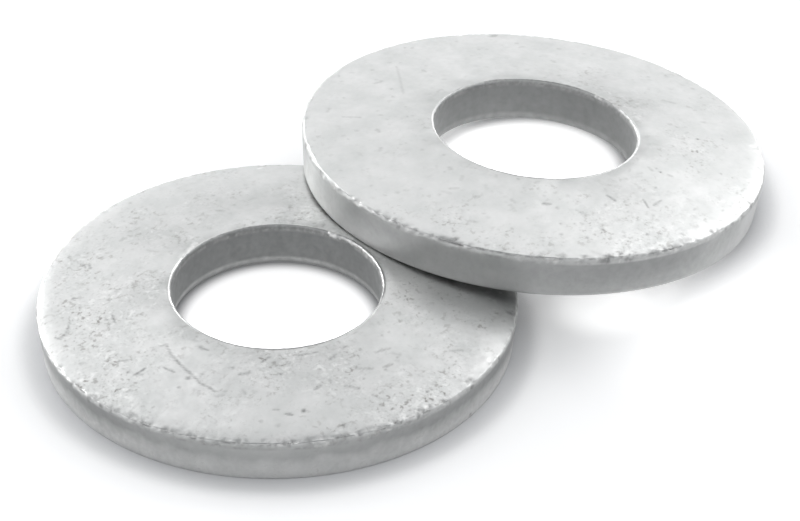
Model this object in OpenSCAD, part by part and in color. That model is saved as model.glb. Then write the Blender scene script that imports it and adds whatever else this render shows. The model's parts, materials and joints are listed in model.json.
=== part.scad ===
// Two conical spring washers of one size, punched from thick strip and pressed to a cone.
// The lower one lies flat with its cone upwards, and the upper one leans on it.
// All sizes are in millimetres. +Z is up, and +X runs from the lower washer's axis to the upper one.
// The origin is on the surface that both stand on, at the middle of the pair.

/* [Washer] */
// Outside diameter, at the top of the rim
outer_d = 39; // [28:0.5:80]
// Diameter of the bore
bore_d = 17; // [8:0.5:22]
// Thickness of the steel, square to its faces
thickness = 3.8; // [1.6:0.1:6]
// Slope of the cone's faces
cone_angle = 6.9; // [1:0.1:12]

/* [Edges] */
// Width of the roll that the punch left round the top of the rim
rim_roll_w = 0.15; // [0.05:0.05:0.6]
// Height of the roll round the top of the rim
rim_roll_h = 0.55; // [0.05:0.05:0.9]
// Radius of the edge that the washer stands on
foot_r = 0.15; // [0.05:0.05:0.5]
// Width of the roll round the top of the bore
bore_roll_w = 0.2; // [0.05:0.05:0.6]
// Height of the roll round the top of the bore
bore_roll_h = 0.5; // [0.05:0.05:0.8]
// Width of the break-out round the bottom of the bore
break_out_w = 0.15; // [0.05:0.05:0.5]
// Height of the break-out round the bottom of the bore
break_out_h = 0.5; // [0.05:0.05:0.8]

/* [Lean] */
// How far outside the lower washer's rolled bore edge the upper washer comes to rest
landing = 0.5; // [0:0.1:6]
// Clearance where the upper washer rests on the lower one
rest_gap = 0.02; // [0:0.01:0.2]

/* [Hidden] */

zinc = [0.84, 0.85, 0.84];
round_fn = 240;
arc_steps = 6;

// The section has the radius as x and the height as y. One direction runs out and down along
// the cone's face, and the other is square to that face.
down_face = [cos(cone_angle), -sin(cone_angle)];
off_face = [sin(cone_angle), cos(cone_angle)];

// What an edge's rounding takes off the reach of its sharp corner in one direction, from how
// far each side of the rounding runs in that direction.
function worn(side_a, side_b) = side_a + side_b - norm([side_a, side_b]);

// Sharp corners of the section. The rim is square to the faces, so the washer is widest at the
// top of its rim and stands on the foot of it. The bore is upright.
bore_r = bore_d / 2;
rim_top = [outer_d / 2 + worn(rim_roll_h * off_face.x, rim_roll_w * down_face.x), thickness * off_face.y];
rim_foot = rim_top - thickness * off_face;
function face_height(r) = rim_top.y + (rim_top.x - r) * tan(cone_angle);
function underside_height(r) = (rim_foot.x - r) * tan(cone_angle);
bore_top = [bore_r, face_height(bore_r)];
bore_foot = [bore_r, underside_height(bore_r)];

// A corner rounded between two sides, each given as the vector from the corner to where the
// rounding starts. Sides of unequal length give the flat ellipse of a punched edge.
function rounded(corner, side_a, side_b) = [
    for (step = [0:arc_steps])
        let (turn = 90 * step / arc_steps)
        corner + side_a * (1 - sin(turn)) + side_b * (1 - cos(turn))
];

section = concat(
    rounded(rim_foot, -down_face * foot_r, off_face * foot_r),
    rounded(rim_top, -off_face * rim_roll_h, -down_face * rim_roll_w),
    rounded(bore_top, down_face * bore_roll_w, [0, -bore_roll_h]),
    rounded(bore_foot, [0, break_out_h], down_face * break_out_w)
);

// Centre of the foot's rounding. A washer tilted about Y rolls on this rounding, so its height
// above the surface and the place of its axis follow from the tilt alone.
foot_centre = rim_foot + (off_face - down_face) * foot_r;
touch_x = bore_r + bore_roll_w + landing;
function lift(tilt) = foot_r + foot_centre.x * sin(tilt) - foot_centre.y * cos(tilt);
function offset_x(tilt) = touch_x + foot_centre.x * cos(tilt) - foot_centre.y * sin(tilt);

// Space between the tilted washer's foot and the lower face, at an angle round the foot.
// Where the foot is over the bore or past the rim, nothing is under it.
open_gap = 1000;
function foot_gap(tilt, turn) =
    let (
        out = foot_centre.x * cos(turn),
        x = offset_x(tilt) - out * cos(tilt) + foot_centre.y * sin(tilt),
        z = lift(tilt) + out * sin(tilt) + foot_centre.y * cos(tilt),
        r = norm([x, foot_centre.x * sin(turn)]),
        over_face = r > bore_r && r < rim_top.x
    )
    over_face ? (z - lift(0) - face_height(r)) * cos(cone_angle) - foot_r : open_gap;

// Space between the lower washer's rim and the tilted washer's underside, at an angle round the
// rim, measured in the tilted washer's own frame.
function rim_gap(tilt, turn) =
    let (
        x = rim_top.x * cos(turn) - offset_x(tilt),
        z = rim_top.y + lift(0) - lift(tilt),
        r = norm([x * cos(tilt) - z * sin(tilt), rim_top.x * sin(turn)]),
        height = x * sin(tilt) + z * cos(tilt),
        under_face = r > bore_r && r < rim_foot.x
    )
    under_face ? (underside_height(r) - height) * cos(cone_angle) : open_gap;

function least_gap(tilt) = min([
    for (turn = [0:0.5:90])
        min(foot_gap(tilt, turn), rim_gap(tilt, turn))
]);

// The lean is the smallest tilt that keeps the two washers clear, found by halving.
function lean_between(low, high, halvings) =
    let (middle = (low + high) / 2)
    halvings == 0 ? high
        : least_gap(middle) < rest_gap ? lean_between(middle, high, halvings - 1)
        : lean_between(low, middle, halvings - 1);
steepest_lean = 45;
lean = lean_between(0, steepest_lean, 20);

// The pair's far end is the leaning washer's rim, and the origin is midway between the ends.
lean_reach = rim_top.x * cos(lean) + rim_top.y * sin(lean)
    - worn(rim_roll_h * sin(cone_angle + lean), rim_roll_w * cos(cone_angle + lean));
lower_x = (outer_d / 2 - offset_x(lean) - lean_reach) / 2;
upper_x = lower_x + offset_x(lean);

module washer() {
    rotate_extrude($fn = round_fn)
        polygon(section);
}

module lower_washer() {
    color(zinc)
        translate([lower_x, 0, lift(0)])
            washer();
}

module upper_washer() {
    color(zinc)
        translate([upper_x, 0, lift(lean)])
            rotate([0, lean, 0])
                washer();
}

lower_washer();
upper_washer();
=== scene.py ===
"""Two zinc-coated conical spring washers on a white table, one lying flat and one leaning on it."""
import json
import math

import bpy
import numpy as np
from mathutils import Matrix, Vector, noise


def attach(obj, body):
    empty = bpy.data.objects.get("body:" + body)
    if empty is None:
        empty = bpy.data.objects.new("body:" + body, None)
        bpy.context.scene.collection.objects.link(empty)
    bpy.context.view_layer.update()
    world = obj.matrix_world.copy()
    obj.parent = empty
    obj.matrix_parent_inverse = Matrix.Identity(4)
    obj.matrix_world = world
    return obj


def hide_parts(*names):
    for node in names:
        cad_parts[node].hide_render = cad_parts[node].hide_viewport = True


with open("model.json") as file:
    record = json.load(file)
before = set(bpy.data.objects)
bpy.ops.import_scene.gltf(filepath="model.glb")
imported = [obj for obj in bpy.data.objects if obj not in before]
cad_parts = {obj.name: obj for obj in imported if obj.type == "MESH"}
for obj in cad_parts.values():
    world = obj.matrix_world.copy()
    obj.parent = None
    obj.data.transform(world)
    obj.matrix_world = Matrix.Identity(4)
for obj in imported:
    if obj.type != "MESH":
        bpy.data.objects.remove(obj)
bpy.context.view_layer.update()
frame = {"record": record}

MM = 0.001

# Camera, at the photograph's angle
PICTURE = (800, 521)
CAMERA_AZIMUTH = math.radians(-41.67)
CAMERA_ELEVATION = math.radians(35.1)
CAMERA_ROLL = math.radians(-0.37)
CAMERA_DISTANCE = 390.0 * MM
CAMERA_TARGET = Vector((0.26, 1.21, 0)) * MM
LENS = 211.05
SENSOR = 36
# Directions on the table, in degrees anticlockwise from the camera's right
FRONT = 270
BACK = 90

# Section of a washer, in millimetres
OUTER_R = 19.5
BORE_R = 8.5
THICKNESS = 3.8
CONE = math.radians(6.9)
RIM_ROLL_W = 0.15
RIM_ROLL_H = 0.55
FOOT_R = 0.15
BORE_ROLL_W = 0.2
BORE_ROLL_H = 0.5
BREAK_OUT_W = 0.15
BREAK_OUT_H = 0.5
# The face also sinks gently towards its two edges, as blanked plate does
RIM_SINK_W = 2.5
RIM_SINK = 0.10
RIM_SINK_POWER = 3
BORE_SINK_W = 1.0
BORE_SINK = 0.09
# Steps along each span of the section, and round the washer
STEPS = {
    "foot": 4, "wall": 16, "rim": 10, "face": 66,
    "bore_edge": 7, "land": 11, "break_out": 4, "underside": 6,
}
AROUND = 800

# Smooth noises and their grain in millimetres; a noise's place in the list also shifts it
GRAINS = {
    "waves": 2.2,
    "relief": 0.6,
    "patches": 5.0,
    "fine_patches": 1.6,
    "edges": 1.4,
    "fine_edges": 0.4,
    "broken": 1.4,
    "fine_broken": 0.4,
    "breaks": 1.2,
    "grit": 0.4,
    "fine_relief": 0.36,
    "fine_breaks": 0.35,
    "bore_dull": 1.8,
    "nicks": 1.1,
    "fine_nicks": 0.4,
}
NOISE_SHIFT = Vector((7.3, 1.9, 4.1))
NOISE_GAIN = 1.6
# Rolling left the face's fine relief streaked in this direction
STREAK = math.radians(13)
STREAK_LENGTH = 2.0

# Unevenness of the face, in millimetres, and how much its rough patches vary by themselves
WAVE_DEPTH = 0.008
RELIEF_DEPTH = 0.016
RELIEF_LEAST = 0.08
FINE_RELIEF = 0.25
PATCH_CONTRAST = 0.3
# How uneven the edge of each dent is
GRIT = 0.35
# Roughness of each edge: depth in millimetres, and the most stain
EDGE_ROUGHNESS = {
    "rim": (0.055, 0.6), "bore_edge": (0.03, 0.4),
    "wall": (0.007, 0.15), "land": (0.003, 0.05),
}
# The wall's lower part broke off rather than being cut and is paler, partly painted light from the table:
# the height where a share of it is pale, that share, and the height over which the pale part fades in
BROKEN_H = 1.9
BROKEN_SHARE = 0.25
BROKEN_FADE = 1.8
# A painted highlight runs in a line low in the bore, this far below the top of the break-out
BORE_HIGHLIGHT_DROP = 0.08
BORE_HIGHLIGHT_W = 0.14
# The face is duller near the bore
BORE_DULL = 0.35
BORE_DULL_REACH = 1.6
# Wear of the rounded edges
RIM_WEAR = 0.06
BORE_EDGE_WEAR = 0.25
# Nicks between face and rim, deepest where they face the camera, with painted shade in them there
NICK_DEPTH = 0.11
NICK_REACH = 0.3
NICK_SHADE = 0.6
CHIPS = 90
# Seeded small marks on the face: how many, length, greatest depth, greatest darkness
SCATTERED = ((130, 0.05, 0.012, 0.35), (50, 0.5, 0.005, 0.3))


def camera_axes():
    """Right, up and back of the camera, in the row frame."""
    azimuth, elevation = CAMERA_AZIMUTH, CAMERA_ELEVATION
    back = Vector((
        math.sin(azimuth) * math.cos(elevation),
        -math.cos(azimuth) * math.cos(elevation),
        math.sin(elevation),
    ))
    level = Vector((math.cos(azimuth), math.sin(azimuth), 0))
    upright = back.cross(level)
    right = level * math.cos(CAMERA_ROLL) + upright * math.sin(CAMERA_ROLL)
    up = upright * math.cos(CAMERA_ROLL) - level * math.sin(CAMERA_ROLL)
    return right, up, back


def make_camera():
    right, up, back = camera_axes()
    data = bpy.data.cameras.new("camera")
    data.lens = LENS
    data.sensor_width = SENSOR
    data.clip_start = 0.01
    data.clip_end = 10
    camera = bpy.data.objects.new("camera", data)
    turn = Matrix((right, up, back)).transposed().to_4x4()
    camera.matrix_world = Matrix.Translation(CAMERA_TARGET + back * CAMERA_DISTANCE) @ turn
    bpy.context.collection.objects.link(camera)
    bpy.context.scene.camera = camera


def in_picture(points):
    """Where points of the row frame appear in the photograph, in pixels."""
    right, up, back = (np.array(v) for v in camera_axes())
    away = points - np.array(CAMERA_TARGET + Vector(back) * CAMERA_DISTANCE)
    scale = LENS / SENSOR * PICTURE[0] / -(away @ back)
    return np.stack((
        PICTURE[0] / 2 + scale * (away @ right),
        PICTURE[1] / 2 - scale * (away @ up),
    ), -1)


def off_face():
    """Directions down the face's slope and straight off it, in the section."""
    return np.array((math.cos(CONE), -math.sin(CONE))), np.array((math.sin(CONE), math.cos(CONE)))


def rim_corner():
    """The sharp corner between face and wall, before it is rounded."""
    down, off = off_face()
    wide, high = RIM_ROLL_W * down[0], RIM_ROLL_H * off[0]
    return np.array((OUTER_R + wide + high - math.hypot(wide, high), THICKNESS * off[1]))


def section():
    """The spans of the section, each with its points as (radius, height), and the bore's middle height."""
    down, off = off_face()
    rim_top = rim_corner()
    rim_foot = rim_top - THICKNESS * off
    slope = math.tan(CONE)
    bore_top = np.array((BORE_R, rim_top[1] + (rim_top[0] - BORE_R) * slope))
    bore_foot = np.array((BORE_R, (rim_foot[0] - BORE_R) * slope))

    def rounded(span, corner, a, b):
        turn = np.linspace(0, math.pi / 2, STEPS[span] + 1)[:, None]
        return corner + a * (1 - np.sin(turn)) + b * (1 - np.cos(turn))

    def straight(span, a, b):
        share = np.linspace(0, 1, STEPS[span] + 1)[1:-1, None]
        return a + (b - a) * share

    foot = rounded("foot", rim_foot, -down * FOOT_R, off * FOOT_R)
    rim = rounded("rim", rim_top, -off * RIM_ROLL_H, -down * RIM_ROLL_W)
    bore = rounded("bore_edge", bore_top, down * BORE_ROLL_W, np.array((0, -BORE_ROLL_H)))
    out = rounded("break_out", bore_foot, np.array((0, BREAK_OUT_H)), down * BREAK_OUT_W)
    spans = {
        "foot": foot,
        "wall": straight("wall", foot[-1], rim[0]),
        "rim": rim,
        "face": straight("face", rim[-1], bore[0]),
        "bore_edge": bore,
        "land": straight("land", bore[-1], out[0]),
        "break_out": out,
        "underside": straight("underside", out[-1], foot[0]),
    }
    return spans, (bore_top[1] + bore_foot[1]) / 2


class Surface:
    """One washer's skin as rings of points, with how far each point is pushed out, and its finish."""

    FINISH = ("dirt_and_shade", "wear", "stain", "dull_and_shade", "pale_and_lit")
    # Points that face the camera less than this aren't picked by pixel, and stand outside the picture
    LEAST_FACING = 0.05
    OUTSIDE = -PICTURE[0]

    def __init__(self, mount, seed):
        spans, middle = section()
        self.seed = seed
        self.random = np.random.default_rng(seed)
        path = np.concatenate(list(spans.values()))
        self.span = np.repeat(list(spans), [len(p) for p in spans.values()])
        along = np.roll(path, -1, 0) - np.roll(path, 1, 0)
        along /= np.linalg.norm(along, axis=1)[:, None]
        outward = np.stack((along[:, 1], -along[:, 0]), 1)
        self.radius, self.height = path.T
        self.angle = np.arange(AROUND) * 2 * math.pi / AROUND
        self.points = self.turned(np.repeat(path[:, None], AROUND, 1))
        self.normals = self.turned(np.repeat(outward[:, None], AROUND, 1))
        self.push = np.zeros((len(path), AROUND))
        self.finish = {label: np.zeros((len(path), AROUND)) for label in self.FINISH}
        axis = Vector(mount["axis"]).normalized()
        self.origin = np.array(Vector(mount["pos_m"]) - axis * middle * MM)
        side = axis.cross(Vector((0, 1, 0)).cross(axis).normalized())
        self.place = np.array((side.cross(axis), side, axis))
        back = np.array(camera_axes()[2])
        self.seen = in_picture(self.in_frame(self.points))
        self.seen[(self.normals @ self.place) @ back < self.LEAST_FACING] = self.OUTSIDE
        self.grit = 1 + GRIT * self.cloud("grit", *spans)

    def turned(self, flat):
        """Points of the section, given for every angle as (radius, height), turned about the axis."""
        radius, height = flat[..., 0], flat[..., 1]
        return np.stack((radius * np.cos(self.angle), radius * np.sin(self.angle), height), -1)

    def in_frame(self, points):
        return points * MM @ self.place + self.origin

    def rings(self, *spans):
        return np.isin(self.span, spans)

    def facing(self, degrees):
        """How far each angle is, in radians, from a direction on the table."""
        turn = self.angle - CAMERA_AZIMUTH - math.radians(degrees)
        return np.abs((turn + math.pi) % (2 * math.pi) - math.pi)

    def toward(self, degrees):
        """1 at the angles that face a direction, fading to 0 before they stand square to it."""
        return np.clip(np.cos(self.facing(degrees)) * 2.2 - 0.9, 0, 1)

    def cloud(self, label, *spans, streak=1.0):
        """One of the smooth noises, from about -1 to 1, on some spans."""
        rows = self.rings(*spans)
        shift = NOISE_SHIFT * (self.seed + list(GRAINS).index(label))
        turn = np.array(Matrix.Rotation(STREAK, 3, "Z"))
        points = (self.points[rows] @ turn / GRAINS[label] / (streak, 1, 1)).reshape(-1, 3).tolist()
        values = [noise.noise(Vector(p) + shift) for p in points]
        return np.array(values).reshape(-1, AROUND) * NOISE_GAIN

    def at(self, pixel):
        """The point of the surface that the camera sees at a pixel of the photograph."""
        away = np.linalg.norm(self.seen - np.array(pixel), axis=2)
        return self.points[np.unravel_index(away.argmin(), away.shape)]

    def near(self, rows, pixel, radius):
        """1 at the point seen at a pixel, fading out over a radius."""
        away = np.linalg.norm(self.points[rows] - self.at(pixel), axis=2)
        return np.exp(-(away / radius) ** 2)

    def dent(self, start, end, radius, depth, label, amount):
        """Sinks the points near a line, or lifts them if depth is negative, and adds to their finish."""
        line = end - start
        share = np.clip((self.points - start) @ line / max(line @ line, 1e-9), 0, 1)
        away = np.linalg.norm(self.points - start - share[:, :, None] * line, axis=2)
        near = np.clip(1 - (away * self.grit / radius) ** 2, 0, 1) ** 2
        self.push -= depth * near
        self.finish[label] = np.maximum(self.finish[label], amount * np.sqrt(near))

    def stroke(self, pixels, radius, depth, label, amount):
        """Dents the surface along a line of pixels."""
        spots = [self.at(pixel) for pixel in pixels]
        for start, end in zip(spots[:-1], spots[1:]):
            self.dent(start, end, radius, depth, label, amount)

    def mesh(self, name):
        world = self.in_frame(self.points + self.normals * self.push[:, :, None]).reshape(-1, 3)
        rings = len(self.radius)
        ring, step = np.meshgrid(np.arange(rings), np.arange(AROUND), indexing="ij")
        next_ring, next_step = (ring + 1) % rings, (step + 1) % AROUND
        corners = ((ring, step), (ring, next_step), (next_ring, next_step), (next_ring, step))
        quads = np.stack([r * AROUND + s for r, s in corners], 2).reshape(-1, 4)
        mesh = bpy.data.meshes.new(name)
        mesh.from_pydata(world.tolist(), [], quads.tolist())
        mesh.shade_smooth()
        for label, amount in self.finish.items():
            layer = mesh.attributes.new(label, "FLOAT", "POINT")
            layer.data.foreach_set("value", amount.astype(np.float32).ravel())
        return mesh


def around(washer, rolls):
    """How much more the edge rolled over at each angle, from rolls as direction, reach and amount."""
    extra = np.zeros(AROUND)
    for direction, reach, amount in rolls:
        extra += amount * np.exp(-(washer.facing(direction) / math.radians(reach)) ** 2)
    return extra


def roll_rim(washer, rolls):
    """Sinks the face towards its rim, further where it rolled over more, and rounds the rim from there."""
    depth = RIM_SINK + around(washer, rolls)
    face, rim = washer.rings("face"), washer.rings("rim")
    rim_start = washer.radius[rim].min()
    near_rim = np.clip(1 - (rim_start - washer.radius[face]) / RIM_SINK_W, 0, 1) ** RIM_SINK_POWER
    washer.points[face, :, 2] -= np.outer(near_rim, depth)
    down, off = off_face()
    start = np.arctan(RIM_SINK_POWER * depth / RIM_SINK_W)
    turn = start + np.outer(np.linspace(1, 0, rim.sum()), math.pi / 2 - start)
    inward = RIM_ROLL_W * (1 - np.sin(turn)) / (1 - np.sin(start))
    sunk = depth + (RIM_ROLL_H - depth) * (np.cos(start) - np.cos(turn)) / np.cos(start)
    washer.points[rim] = washer.turned(rim_corner() - down * inward[:, :, None] - off * sunk[:, :, None])


def sink_bore(washer, rolls):
    """Sinks the face towards the bore, and dulls it there."""
    face, edge = washer.rings("face"), washer.rings("bore_edge")
    from_bore = washer.radius[face] - washer.radius[edge].max()
    near = np.zeros(len(washer.radius))
    near[face] = np.clip(1 - from_bore / BORE_SINK_W, 0, 1) ** 2
    near[edge] = np.linspace(1, 0, edge.sum()) ** 2
    washer.push -= np.outer(near, BORE_SINK + around(washer, rolls))
    fade = np.exp(-from_bore / BORE_DULL_REACH)[:, None]
    washer.finish["dull_and_shade"][face] = BORE_DULL * fade * (1 + washer.cloud("bore_dull", "face"))


def roughen(washer, base, zones):
    """Unevenness, fine relief in patches and ragged edges, as any such washer has."""
    face = washer.rings("face")
    washer.push[face] += washer.cloud("waves", "face") * WAVE_DEPTH - WAVE_DEPTH
    patches = base + washer.cloud("patches", "face") * PATCH_CONTRAST
    patches += washer.cloud("fine_patches", "face") * PATCH_CONTRAST
    for x, y, radius, amount in zones:
        patches += amount * washer.near(face, (x, y), radius)
    stain = np.clip(patches, 0, 1)
    washer.finish["stain"][face] = stain
    relief = washer.cloud("relief", "face", streak=STREAK_LENGTH) * (1 - FINE_RELIEF)
    relief += washer.cloud("fine_relief", "face") * FINE_RELIEF
    washer.push[face] += (relief - 1) * RELIEF_DEPTH * (RELIEF_LEAST + stain)
    for span, (depth, most) in EDGE_ROUGHNESS.items():
        rows = washer.rings(span)
        coarse = washer.cloud("edges", span)
        fine = washer.cloud("fine_edges", span)
        ease = np.sin(np.linspace(0, math.pi, rows.sum()))[:, None]
        washer.push[rows] -= depth * ease * np.clip(0.5 + 0.5 * coarse + 0.6 * fine, 0, 1.6)
        washer.finish["stain"][rows] = most * np.clip(0.6 + coarse * 0.5 + fine * 0.5, 0, 1)


def finish_edges(washer, edges):
    """The cut edges: dull above; pale where the wall broke off, partly painted light; and a painted
    highlight in a line low in the bore.
    """
    wall = washer.rings("wall", "foot")
    height = washer.height[wall][:, None]
    ragged = washer.cloud("broken", "foot", "wall") * 0.12
    ragged += washer.cloud("fine_broken", "foot", "wall") * 0.06
    # Paler towards the foot, partly painted light from the table
    broken = np.clip((BROKEN_H - height) / BROKEN_FADE + BROKEN_SHARE + ragged, 0, 1)
    washer.finish["pale_and_lit"][wall] = edges["wall_pale_and_lit"] * broken
    washer.finish["dull_and_shade"][wall] = edges["wall_dull"] * (1 - edges["wall_pale_and_lit"] * broken)
    land = washer.rings("land", "break_out")
    washer.finish["dull_and_shade"][land] = edges["bore_dull"]
    # A painted highlight in a line low in the bore
    low = washer.height[land] - washer.height[washer.rings("break_out")].max()
    line = np.exp(-((low + BORE_HIGHLIGHT_DROP) / BORE_HIGHLIGHT_W) ** 2)
    washer.finish["pale_and_lit"][land] = (edges["painted_bore_highlight"] * line)[:, None]
    finish_rounding(washer, "rim", RIM_WEAR, FRONT, edges["wall_dull"])
    finish_rounding(washer, "bore_edge", BORE_EDGE_WEAR, BACK, edges["bore_dull"])


def finish_rounding(washer, span, worn, seen_from, dull_and_shade):
    """Wear, ragged lines of painted shade and dullness of a rounded edge; share runs from the wall to the
    face.
    """
    rows = washer.rings(span)
    share = np.linspace(0, 1, rows.sum())[:, None]
    if span == "bore_edge":
        share = share[::-1]
    breaks = washer.cloud("breaks", span) + washer.cloud("fine_breaks", span) * 0.7
    washer.finish["wear"][rows] = worn * np.clip(1 + breaks, 0, 1) * np.clip(1.3 - share, 0, 1)
    # Dark ragged lines in the edge's creases are painted shade, drawn only on the side that the camera
    # faces
    lines = np.exp(-((share - 0.8) / 0.25) ** 2) + 0.4 * np.exp(-((share - 0.05) / 0.2) ** 2)
    washer.finish["dirt_and_shade"][rows] = lines * np.clip(breaks, 0, 0.7) * washer.toward(seen_from)
    washer.finish["dull_and_shade"][rows] = dull_and_shade * np.clip(1.3 - 1.2 * share, 0, 1)


def smudge(washer, smudges):
    """Soft patches of one finish on one span, many of them painted light and shade."""
    for (span, label), patches in smudges.items():
        rows = washer.rings(span)
        for x, y, radius, amount in patches:
            washer.finish[label][rows] += amount * washer.near(rows, (x, y), radius)


def nick_rim(washer):
    """Ragged nicks along the edge between face and rim, with painted shade in them where they face the
    camera.
    """
    rows = washer.rings("rim", "face")
    last = np.flatnonzero(washer.rings("rim"))[-1]
    away = np.hypot(washer.radius[rows] - washer.radius[last], washer.height[rows] - washer.height[last])
    near = np.exp(-(away / NICK_REACH) ** 2)[:, None]
    ragged = washer.cloud("nicks", "rim", "face") + washer.cloud("fine_nicks", "rim", "face") * 0.9
    nicks = np.clip(ragged, 0, 1.2)
    front = washer.toward(FRONT)
    washer.push[rows] -= NICK_DEPTH * near * nicks * (0.3 + 0.7 * front)
    # Painted shade in the nicks, only where they face the camera
    dirt_and_shade = NICK_SHADE * near * nicks * front
    washer.finish["dirt_and_shade"][rows] = np.maximum(washer.finish["dirt_and_shade"][rows], dirt_and_shade)


def chip_rim(washer):
    """Small seeded chips along the rim, some dark, some bright."""
    random = washer.random
    rows = np.flatnonzero(washer.rings("rim"))
    for _ in range(CHIPS):
        ring = random.integers(rows[0] + 2, rows[-1] + 3)
        spot = washer.points[ring, random.integers(AROUND)]
        label = "dirt_and_shade" if random.random() < 0.6 else "wear"
        size = random.uniform(0.15, 0.4)
        end = spot + random.normal(0, 0.25, 3) * (1, 1, 0.2)
        washer.dent(spot, end, size, size * random.uniform(0.03, 0.12), label, random.uniform(0.2, 0.7))


def scatter(washer):
    """Seeded small pits and short scuffs on the face."""
    random = washer.random
    rows = np.flatnonzero(washer.rings("face"))
    for count, length, deepest, darkest in SCATTERED:
        for _ in range(count):
            spot = washer.points[random.choice(rows), random.integers(AROUND)]
            turn = random.uniform(0, 2 * math.pi)
            way = np.array((math.cos(turn), math.sin(turn), 0))
            end = spot + way * length * random.uniform(0.3, 1.4)
            size = random.uniform(0.16, 0.24)
            depth = random.uniform(0.2, 1) * deepest
            washer.dent(spot, end, size, depth, "dirt_and_shade", random.uniform(0.05, darkest))


def mark(washer, pits, strokes, burrs):
    """The marks that the photograph shows, placed by pixel."""
    for x, y, radius, depth, dirt_and_shade in pits:
        washer.stroke(((x, y), (x, y)), radius, depth, "dirt_and_shade", dirt_and_shade)
    for pixels, radius, depth, dirt_and_shade in strokes:
        washer.stroke(pixels, radius, depth, "dirt_and_shade", dirt_and_shade)
    for pixels, radius, height in burrs:
        washer.stroke(pixels, radius, -height, "wear", 1.0)


# Where the rim rolled over more: direction from the camera's right in degrees, reach in degrees, depth
LOWER_ROLLS = ((205, 38, 0.2), (350, 20, 0.22))
UPPER_ROLLS = ((332, 28, 0.12),)
LOWER_BORE_ROLLS = ((185, 40, 0.08), (35, 40, 0.08))
UPPER_BORE_ROLLS = ((150, 40, 0.03),)
# Rough patches seen in the photograph, by pixel: x, y, radius, amount
LOWER_ZONES = (
    (265, 362, 3.5, 0.7), (350, 372, 3.5, 0.5), (405, 412, 3.0, 0.7), (455, 395, 2.5, 0.4),
    (90, 385, 2.5, 0.8), (130, 420, 2.0, 0.6), (75, 262, 2.0, 0.6), (410, 300, 3.0, 0.4),
    (150, 290, 3.0, 0.6), (110, 310, 3.0, 0.5), (310, 215, 2.0, 0.5), (130, 350, 3.0, 0.4),
    (160, 235, 3.0, 0.3), (215, 205, 3.0, -0.1), (270, 200, 2.5, -0.1), (285, 450, 2.0, 0.4),
)
UPPER_ZONES = (
    (640, 235, 4.0, 0.5), (690, 215, 3.0, 0.35), (600, 205, 4.0, 0.2), (470, 250, 3.0, 0.35),
    (440, 215, 3.0, 0.2), (690, 145, 3.0, 0.4), (630, 105, 2.5, 0.5), (600, 80, 2.0, 0.3),
    (480, 50, 6.0, -0.4), (380, 80, 5.0, -0.4), (560, 50, 5.0, -0.4), (340, 140, 4.0, -0.4),
    (400, 170, 4.0, -0.2), (660, 150, 3.0, 0.1),
)
# Dull and pale patches, likewise, some of them painted shade and painted light; a negative amount takes
# dullness away
LOWER_FACE_DULL_AND_SHADE = (
    (160, 235, 3.0, 0.3), (215, 205, 3.0, 0.3), (270, 200, 2.5, 0.3), (150, 290, 3.0, 0.2),
    # (410, 300), (395, 285) and (375, 258) take dullness away as painted light where the upper washer
    # shades the face
    (310, 215, 2.0, 0.2), (350, 372, 3.5, 0.1), (265, 362, 3.5, 0.1), (410, 300, 3.0, -0.2),
    # (508, 295) and (488, 291) are painted shadow in the gap under the upper washer
    (395, 285, 2.5, -0.4), (375, 258, 2.0, -0.3), (508, 295, 1.7, 1.4), (488, 291, 1.6, 0.7),
)
# Painted light (negative amounts) at the front of the lower washer's wall, and painted shade towards its
# left and right, the right one where the upper washer shades it
LOWER_WALL_LIGHT_AND_SHADE = (
    (265, 460, 6.0, -0.35), (95, 425, 5.0, 0.4), (450, 430, 6.0, 0.2), (500, 385, 5.0, 0.4),
)
# Painted light on the lower face beside its bore, where the upper washer shades it
LOWER_FACE_PAINTED_LIGHT = ((395, 285, 2.5, 0.9), (415, 285, 2.0, 0.4))
LOWER_SMUDGES = {
    ("face", "dull_and_shade"): LOWER_FACE_DULL_AND_SHADE,
    ("face", "pale_and_lit"): LOWER_FACE_PAINTED_LIGHT,
    ("wall", "dull_and_shade"): LOWER_WALL_LIGHT_AND_SHADE,
}
UPPER_FACE_DULL = (
    (630, 105, 2.5, 0.4), (600, 80, 2.0, 0.3), (620, 190, 3.0, 0.3), (660, 150, 3.0, 0.2),
)
# Painted shade on the upper washer's front wall, and painted light (negative amounts) at its far left and
# right ends
UPPER_WALL_LIGHT_AND_SHADE = (
    (560, 280, 5.0, 0.15), (620, 277, 5.0, 0.5), (680, 262, 4.0, 0.45), (385, 240, 5.0, 0.25),
    (310, 165, 3.0, -0.4), (750, 215, 3.0, -0.6),
)
UPPER_SMUDGES = {
    ("face", "dull_and_shade"): UPPER_FACE_DULL,
    ("wall", "dull_and_shade"): UPPER_WALL_LIGHT_AND_SHADE,
}
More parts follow.
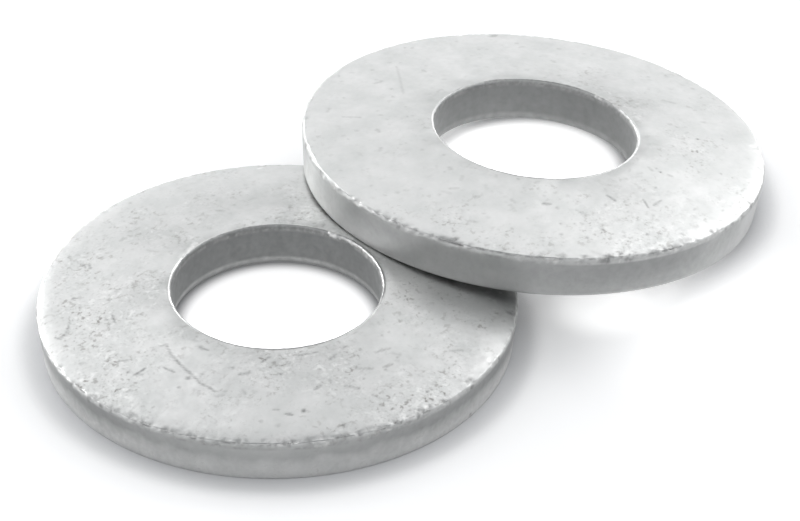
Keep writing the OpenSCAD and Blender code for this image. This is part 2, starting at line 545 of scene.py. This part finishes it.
# Marks seen in the photograph, by pixel: pits as x, y, radius, depth, dirt
LOWER_PITS = (
    (109, 300, 0.20, 0.03, 0.8), (69, 257, 0.18, 0.03, 0.7), (77, 261, 0.18, 0.02, 0.4),
    (88, 289, 0.17, 0.02, 0.5), (213, 195, 0.22, 0.02, 0.5), (179, 387, 0.20, 0.02, 0.6),
    (188, 378, 0.24, 0.02, 0.6), (303, 411, 0.27, 0.03, 0.8), (309, 412, 0.18, 0.01, 0.4),
    (427, 392, 0.20, 0.03, 0.6), (418, 292, 0.22, 0.02, 0.4), (470, 414, 0.20, 0.04, 0.8),
    (133, 296, 0.18, 0.02, 0.4), (129, 372, 0.26, 0.01, 0.4), (82, 362, 0.24, 0.01, 0.35),
    (342, 425, 0.20, 0.02, 0.5), (281, 374, 0.20, 0.02, 0.5), (289, 363, 0.22, 0.01, 0.4),
    (202, 374, 0.24, 0.01, 0.4), (225, 392, 0.18, 0.01, 0.3), (260, 421, 0.24, 0.01, 0.35),
    (105, 384, 0.20, 0.01, 0.4), (124, 384, 0.20, 0.01, 0.4), (130, 390, 0.22, 0.01, 0.35),
    (345, 346, 0.22, 0.01, 0.4), (353, 387, 0.20, 0.01, 0.4), (364, 379, 0.20, 0.01, 0.4),
    (111, 347, 0.20, 0.01, 0.3), (83, 334, 0.20, 0.01, 0.4), (108, 319, 0.18, 0.01, 0.4),
    (197, 336, 0.20, 0.01, 0.3), (160, 346, 0.17, 0.01, 0.4), (334, 398, 0.20, 0.01, 0.3),
)
# Strokes as the pixels along them, radius, depth, dirt
LOWER_STROKES = (
    (((167, 345), (172, 354), (180, 364), (190, 374), (201, 383), (215, 391)), 0.15, 0.02, 0.5),
    (((160, 346), (167, 344)), 0.15, 0.01, 0.35),
    (((69, 323), (66, 333), (61, 339), (56, 337)), 0.15, 0.01, 0.5),
    (((112, 315), (116, 322)), 0.15, 0.02, 0.6),
    (((135, 375), (145, 369)), 0.16, 0.02, 0.6),
    (((135, 375), (142, 374)), 0.15, 0.01, 0.4),
    (((164, 367), (174, 372)), 0.14, 0.01, 0.5),
    (((119, 361), (127, 361)), 0.16, 0.01, 0.4),
    (((450, 350), (462, 350)), 0.14, 0.01, 0.4),
    (((73, 299), (81, 298)), 0.15, 0.01, 0.5),
    (((84, 264), (86, 268)), 0.15, 0.01, 0.5),
    (((89, 264), (91, 269)), 0.15, 0.01, 0.5),
    (((200, 347), (208, 350)), 0.18, 0.01, 0.5),
    (((285, 413), (292, 415)), 0.16, 0.02, 0.6),
    (((274, 410), (280, 410)), 0.15, 0.01, 0.4),
    (((299, 355), (318, 352)), 0.15, 0.01, 0.45),
    (((240, 374), (250, 373)), 0.20, 0.01, 0.4),
    (((262, 362), (270, 356)), 0.17, 0.01, 0.4),
    (((330, 359), (336, 355)), 0.18, 0.01, 0.45),
    (((384, 366), (392, 364)), 0.18, 0.01, 0.4),
    (((355, 368), (373, 368)), 0.14, 0.01, 0.35),
    (((315, 389), (320, 386)), 0.18, 0.01, 0.4),
    (((346, 386), (359, 388)), 0.17, 0.01, 0.45),
    (((378, 352), (390, 349)), 0.15, 0.01, 0.35),
    (((372, 396), (390, 401)), 0.14, 0.01, 0.3),
)
UPPER_PITS = (
    (698, 139, 0.20, 0.03, 0.7), (722, 139, 0.18, 0.02, 0.4), (674, 146, 0.20, 0.02, 0.4),
    (684, 156, 0.18, 0.02, 0.5), (661, 172, 0.20, 0.03, 0.8), (722, 174, 0.18, 0.02, 0.5),
    (561, 223, 0.17, 0.01, 0.5), (620, 253, 0.22, 0.05, 0.9), (629, 253, 0.18, 0.02, 0.6),
    (518, 178, 0.22, 0.01, 0.4), (371, 185, 0.18, 0.01, 0.3), (484, 214, 0.17, 0.01, 0.3),
    (716, 145, 0.18, 0.02, 0.4), (677, 127, 0.18, 0.02, 0.4), (685, 142, 0.18, 0.02, 0.4),
    (657, 169, 0.18, 0.01, 0.4), (656, 188, 0.20, 0.01, 0.4), (575, 223, 0.17, 0.01, 0.4),
    (561, 234, 0.18, 0.01, 0.4), (588, 238, 0.18, 0.01, 0.4), (648, 234, 0.20, 0.01, 0.4),
    (682, 233, 0.20, 0.01, 0.4), (628, 211, 0.17, 0.01, 0.3), (605, 205, 0.18, 0.01, 0.4),
    (543, 241, 0.18, 0.01, 0.3), (487, 237, 0.18, 0.01, 0.4), (454, 231, 0.18, 0.01, 0.4),
    (385, 195, 0.18, 0.01, 0.3), (443, 155, 0.18, 0.01, 0.3), (348, 139, 0.18, 0.01, 0.3),
    (390, 62, 0.18, 0.01, 0.3), (598, 97, 0.22, 0.03, 0.5), (632, 237, 0.18, 0.01, 0.4),
)
UPPER_STROKES = (
    (((643, 200), (648, 207)), 0.15, 0.02, 0.55),
    (((654, 205), (661, 200)), 0.15, 0.02, 0.45),
    (((607, 195), (615, 201)), 0.15, 0.02, 0.5),
    (((543, 204), (550, 204)), 0.18, 0.02, 0.6),
    (((343, 117), (360, 117)), 0.15, 0.01, 0.3),
    (((450, 188), (458, 188)), 0.18, 0.01, 0.25),
    (((397, 66), (403, 93)), 0.15, 0.01, 0.2),
    (((577, 210), (586, 214)), 0.15, 0.01, 0.3),
)
# Raised bright edges as the pixels along them, radius, height
LOWER_BURRS = (
    (((331, 234), (336, 236)), 0.35, 0.16),
    (((340, 236), (351, 241), (361, 247)), 0.30, 0.04),
    (((364, 250), (373, 258), (379, 267)), 0.38, 0.05),
    (((381, 272), (383, 284)), 0.30, 0.04),
    (((173, 270), (182, 256), (196, 243)), 0.22, 0.02),
)
UPPER_BURRS = (
    (((596, 97), (600, 99)), 0.25, 0.04),
)
# What sets the two washers apart
LOWER_LOOK = {
    "seed": 3,
    "edges": {"wall_dull": 1.0, "wall_pale_and_lit": 0.8, "bore_dull": 1.8, "painted_bore_highlight": 0.4},
    "rolls": LOWER_ROLLS,
    "bore_rolls": LOWER_BORE_ROLLS,
    "rough": 0.28,
    "zones": LOWER_ZONES,
    "smudges": LOWER_SMUDGES,
    "marks": (LOWER_PITS, LOWER_STROKES, LOWER_BURRS),
}
UPPER_LOOK = {
    "seed": 8,
    "edges": {"wall_dull": 0.8, "wall_pale_and_lit": 0.15, "bore_dull": 1.5, "painted_bore_highlight": 0.2},
    "rolls": UPPER_ROLLS,
    "bore_rolls": UPPER_BORE_ROLLS,
    "rough": 0.08,
    "zones": UPPER_ZONES,
    "smudges": UPPER_SMUDGES,
    "marks": (UPPER_PITS, UPPER_STROKES, UPPER_BURRS),
}


def make_washer(name, node, mount, look, material):
    washer = Surface(mount, look["seed"])
    roll_rim(washer, look["rolls"])
    sink_bore(washer, look["bore_rolls"])
    roughen(washer, look["rough"], look["zones"])
    finish_edges(washer, look["edges"])
    smudge(washer, look["smudges"])
    nick_rim(washer)
    chip_rim(washer)
    scatter(washer)
    mark(washer, *look["marks"])
    mesh = washer.mesh(name)
    mesh.materials.append(material)
    piece = bpy.data.objects.new(name, mesh)
    bpy.context.collection.objects.link(piece)
    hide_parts(node)
    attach(piece, "root")


class Shading:
    """A material's nodes, with a short way to add each kind."""

    def __init__(self, name):
        self.material = bpy.data.materials.new(name)
        self.material.use_nodes = True
        self.nodes = self.material.node_tree.nodes
        self.link = self.material.node_tree.links.new
        self.shader = self.nodes["Principled BSDF"]
        self.place = self.nodes.new("ShaderNodeTexCoord").outputs["Object"]

    def feed(self, socket, value):
        """Gives a socket a colour, a number or another node's output."""
        if isinstance(value, tuple):
            socket.default_value = (*value, 1)
        elif isinstance(value, (int, float)):
            socket.default_value = value
        else:
            self.link(value, socket)

    def attribute(self, label):
        node = self.nodes.new("ShaderNodeAttribute")
        node.attribute_name = label
        return node.outputs["Fac"]

    def grain(self, size, detail=2.0, rough=0.5, distortion=0.0):
        """Noise with its size in millimetres."""
        node = self.nodes.new("ShaderNodeTexNoise")
        self.feed(node.inputs["Vector"], self.place)
        self.feed(node.inputs["Scale"], 1 / (size * MM))
        self.feed(node.inputs["Detail"], detail)
        self.feed(node.inputs["Roughness"], rough)
        self.feed(node.inputs["Distortion"], distortion)
        return node.outputs["Fac"]

    def spread(self, value, low, high, to_low=0.0, to_high=1.0, easing="LINEAR"):
        """A value's range from low to high, spread over another range."""
        node = self.nodes.new("ShaderNodeMapRange")
        node.interpolation_type = easing
        self.feed(node.inputs["Value"], value)
        self.feed(node.inputs["From Min"], low)
        self.feed(node.inputs["From Max"], high)
        self.feed(node.inputs["To Min"], to_low)
        self.feed(node.inputs["To Max"], to_high)
        return node.outputs["Result"]

    def calculate(self, operation, a, b, clamp=False):
        node = self.nodes.new("ShaderNodeMath")
        node.operation = operation
        node.use_clamp = clamp
        self.feed(node.inputs[0], a)
        self.feed(node.inputs[1], b)
        return node.outputs["Value"]

    def multiply(self, a, b):
        return self.calculate("MULTIPLY", a, b)

    def add(self, a, b):
        return self.calculate("ADD", a, b)

    def mix(self, share, a, b):
        """Colour a, with a share of colour b."""
        node = self.nodes.new("ShaderNodeMix")
        node.data_type = "RGBA"
        self.feed(node.inputs["Factor"], share)
        for label, value in (("A", a), ("B", b)):
            self.feed(next(s for s in node.inputs if s.name == label and s.type == "RGBA"), value)
        return next(s for s in node.outputs if s.type == "RGBA")


# Colours of the coating, and of what lies in it and on it
ZINC = (0.528, 0.537, 0.531)
ZINC_CLOUDS = (0.616, 0.617, 0.613)
ZINC_DULL = (0.165, 0.170, 0.170)
# Pale zinc, also the colour of painted light and a painted highlight
PALE_AND_LIT_ZINC = (0.76, 0.76, 0.75)
BRIGHT_SPOTS = (0.80, 0.80, 0.79)
DARK_GRAINS = (0.30, 0.30, 0.295)
DARK_FLECKS = (0.27, 0.262, 0.25)
WORN_METAL = (0.75, 0.75, 0.74)
# Dark of dirt, and of the painted shade in the edges' creases and nicks
DARK_DIRT_AND_SHADE = (0.14, 0.14, 0.14)
BUMP_HEIGHT = 0.02 * MM


def zinc():
    """Dull zinc: clouded grey, dark in its pits and specks, brighter and smoother where it is worn; its
    attributes also carry painted light and shade.
    """
    shading = Shading("zinc_coating")
    grain, spread, mix = shading.grain, shading.spread, shading.mix
    multiply, add = shading.multiply, shading.add
    inputs = shading.shader.inputs
    dirt_and_shade, wear, stain, dull_and_shade, pale_and_lit = (shading.attribute(label) for label in Surface.FINISH)

    clouds = spread(grain(2.5, 4.0, 0.6), 0.3, 0.7)
    colour = mix(clouds, ZINC, ZINC_CLOUDS)
    colour = mix(multiply(dull_and_shade, 0.5), colour, ZINC_DULL)
    chips = spread(grain(0.5, 4.0, 0.6), 0.4, 0.62, 0.7, 1.0)
    # Pale patches, partly painted light and a painted highlight
    colour = mix(multiply(pale_and_lit, chips), colour, PALE_AND_LIT_ZINC)
    amount = spread(stain, 0.1, 1.0, 0.0, 0.35)
    bright = spread(grain(0.5, 3.0, 0.5, 0.3), 0.44, 0.34)
    colour = mix(multiply(bright, amount), colour, BRIGHT_SPOTS)
    fine = spread(grain(0.25), 0.54, 0.68)
    colour = mix(multiply(fine, amount), colour, DARK_GRAINS)
    spots = spread(grain(0.5, 3.0, 0.55, 0.3), 0.56, 0.66)
    flecks = multiply(spots, spread(grain(2.2), 0.42, 0.58))
    colour = mix(multiply(flecks, spread(stain, 0.0, 1.0, 0.1, 0.9)), colour, DARK_FLECKS)
    worn = multiply(wear, spread(grain(0.5), 0.4, 0.6, 0.4, 0.9))
    colour = mix(worn, colour, WORN_METAL)
    # Dirt, and painted shade in the edges' creases and nicks, darken the colour here
    dark = multiply(dirt_and_shade, spread(grain(0.25), 0.3, 0.6, 0.45, 0.9))
    shading.link(mix(dark, colour, DARK_DIRT_AND_SHADE), inputs["Base Color"])

    rough = spread(grain(0.6, 3.0), 0.3, 0.7, 0.36, 0.5)
    for finish, change in ((pale_and_lit, 0.12), (dull_and_shade, 0.1), (wear, -0.08)):
        rough = add(rough, multiply(finish, change))
    rough = shading.calculate("ADD", rough, multiply(dirt_and_shade, 0.2), clamp=True)
    shading.link(rough, inputs["Roughness"])
    inputs["Metallic"].default_value = 1.0

    bump = shading.nodes.new("ShaderNodeBump")
    bump.inputs["Distance"].default_value = BUMP_HEIGHT
    shading.link(spread(stain, 0.1, 1.0, 0.1, 0.6), bump.inputs["Strength"])
    shading.link(grain(0.22, 3.0, 0.6), bump.inputs["Height"])
    shading.link(bump.outputs["Normal"], inputs["Normal"])
    return shading.material


TABLE_SIZE = 4
TABLE_ROUGHNESS = 0.8
TABLE_COLOUR = (0.89, 0.89, 0.895)
# Close to the washers the table's colour is painted darker, as a contact shadow, and it doesn't glow
TABLE_CONTACT_SHADOW = (0.51, 0.515, 0.53)
TABLE_REACH = 2.8 * MM
TABLE_GLOW = 0.16
TABLE_SAMPLES = 8
# Painted light that lifts the shade where the camera sees the table through the bores and below the upper
# washer: x, y and radius in millimetres, the share of the radius where the glow starts to fade, and the
# glow
TABLE_PAINTED_LIGHT = (
    (-12.9, 1.4, 8.8, 0.8, 0.8),
    (17.2, 3.6, 8.8, 0.8, 0.8),
    (13.7, -23.0, 15.0, 0.2, 0.3),
    (8.2, -14.6, 5.5, 0.3, 0.3),
)


def make_table():
    """A white table that keeps the shadows, with a painted contact shadow near the washers. Seen or
    mirrored, it glows a little, as a lit backdrop does, and more in patches of painted light.
    """
    bpy.ops.mesh.primitive_plane_add(size=TABLE_SIZE)
    table = bpy.context.object
    table.name = "table"
    shading = Shading("white_table")
    inputs = shading.shader.inputs
    inputs["Roughness"].default_value = TABLE_ROUGHNESS
    inputs["Specular IOR Level"].default_value = 0.0
    inputs["Emission Color"].default_value = (1, 1, 1, 1)

    def ease(value, low, high, to_low=0.0, to_high=1.0):
        return shading.spread(value, low, high, to_low, to_high, "SMOOTHSTEP")

    rays = shading.nodes.new("ShaderNodeLightPath")
    seen = rays.outputs["Is Camera Ray"]
    for kind in ("Is Glossy Ray", "Is Transmission Ray"):
        seen = shading.calculate("MAXIMUM", seen, rays.outputs[kind])
    surroundings = shading.nodes.new("ShaderNodeAmbientOcclusion")
    surroundings.inputs["Distance"].default_value = TABLE_REACH
    surroundings.samples = TABLE_SAMPLES
    openness = surroundings.outputs["AO"]
    # Painted contact shadow: the table's colour darkens where the washers close it in
    shading.link(shading.mix(ease(openness, 0.3, 1.0), TABLE_CONTACT_SHADOW, TABLE_COLOUR), inputs["Base Color"])
    glow = ease(openness, 0.75, 1.0, 0.0, TABLE_GLOW)
    # Patches of painted light lift the shade in the bores and under the upper washer
    for x, y, radius, soft, brightness in TABLE_PAINTED_LIGHT:
        away = shading.nodes.new("ShaderNodeVectorMath")
        away.operation = "DISTANCE"
        away.inputs[1].default_value = (x * MM, y * MM, 0)
        shading.link(shading.place, away.inputs[0])
        reach = radius * MM
        glow = shading.add(glow, ease(away.outputs["Value"], reach * soft, reach, brightness, 0.0))
    shading.link(shading.multiply(seen, glow), inputs["Emission Strength"])
    table.data.materials.append(shading.material)


WORLD_COLOUR = (0.90, 0.95, 1.0, 1)
WORLD_STRENGTH = 0.2
LAMP_DISTANCE = 1.0
# Each lamp's azimuth and elevation in degrees, width and height in metres, and brightness
LAMPS = (
    ("back_low", 90, 10, 0.6, 0.3, 1.2),
    ("back_mid", 90, 30, 0.6, 0.4, 0.95),
    ("back_high", 90, 50, 0.6, 0.4, 0.75),
    ("back_left_low", 127, 10, 0.6, 0.3, 6.3),
    ("back_left_high", 127, 50, 0.6, 0.4, 1.3),
    ("left_strip", 150, 10, 0.6, 0.3, 7.4),
    ("left_mid", 150, 30, 1.0, 0.6, 0.76),
    ("left_high", 150, 70, 0.6, 0.4, 0.55),
    ("left_low", 195, 12, 0.6, 0.3, 3.0),
    ("back_right_low", 50, 10, 0.6, 0.3, 2.9),
    ("back_right_mid", 50, 30, 0.6, 0.4, 2.5),
    ("back_right_high", 50, 50, 0.6, 0.4, 1.25),
    ("right_strip", 25, 10, 0.6, 0.3, 2.5),
    ("right_mid", -5, 30, 1.2, 0.8, 1.25),
    ("right_low", -30, 10, 0.6, 0.3, 1.0),
    ("front_left_mid", 228, 30, 1.2, 0.8, 0.68),
    ("front_mid", 270, 30, 1.2, 0.8, 0.86),
)


def softbox(name, azimuth, elevation, width, height, radiance):
    """A soft lamp that faces the washers; azimuth runs anticlockwise from the camera's right."""
    turn = math.radians(azimuth) + CAMERA_AZIMUTH
    rise = math.radians(elevation)
    direction = Vector((math.cos(turn) * math.cos(rise), math.sin(turn) * math.cos(rise), math.sin(rise)))
    data = bpy.data.lights.new(name, "AREA")
    data.shape = "RECTANGLE"
    data.size = width
    data.size_y = height
    data.energy = radiance * math.pi * width * height
    lamp = bpy.data.objects.new(name, data)
    lamp.location = direction * LAMP_DISTANCE
    lamp.rotation_mode = "QUATERNION"
    lamp.rotation_quaternion = direction.to_track_quat("Z", "Y")
    bpy.context.collection.objects.link(lamp)


def make_light():
    world = bpy.data.worlds.new("studio")
    world.use_nodes = True
    background = world.node_tree.nodes["Background"]
    background.inputs["Color"].default_value = WORLD_COLOUR
    background.inputs["Strength"].default_value = WORLD_STRENGTH
    bpy.context.scene.world = world
    for lamp in LAMPS:
        softbox(*lamp)


mounts = {m["name"]: m for m in frame["record"]["mounts"]}
bpy.context.scene.view_settings.view_transform = "Standard"
make_camera()
make_table()
make_light()
coating = zinc()
make_washer("lower_washer_zinc", "lower_washer", mounts["lower_bore"], LOWER_LOOK, coating)
make_washer("upper_washer_zinc", "upper_washer", mounts["upper_bore"], UPPER_LOOK, coating)
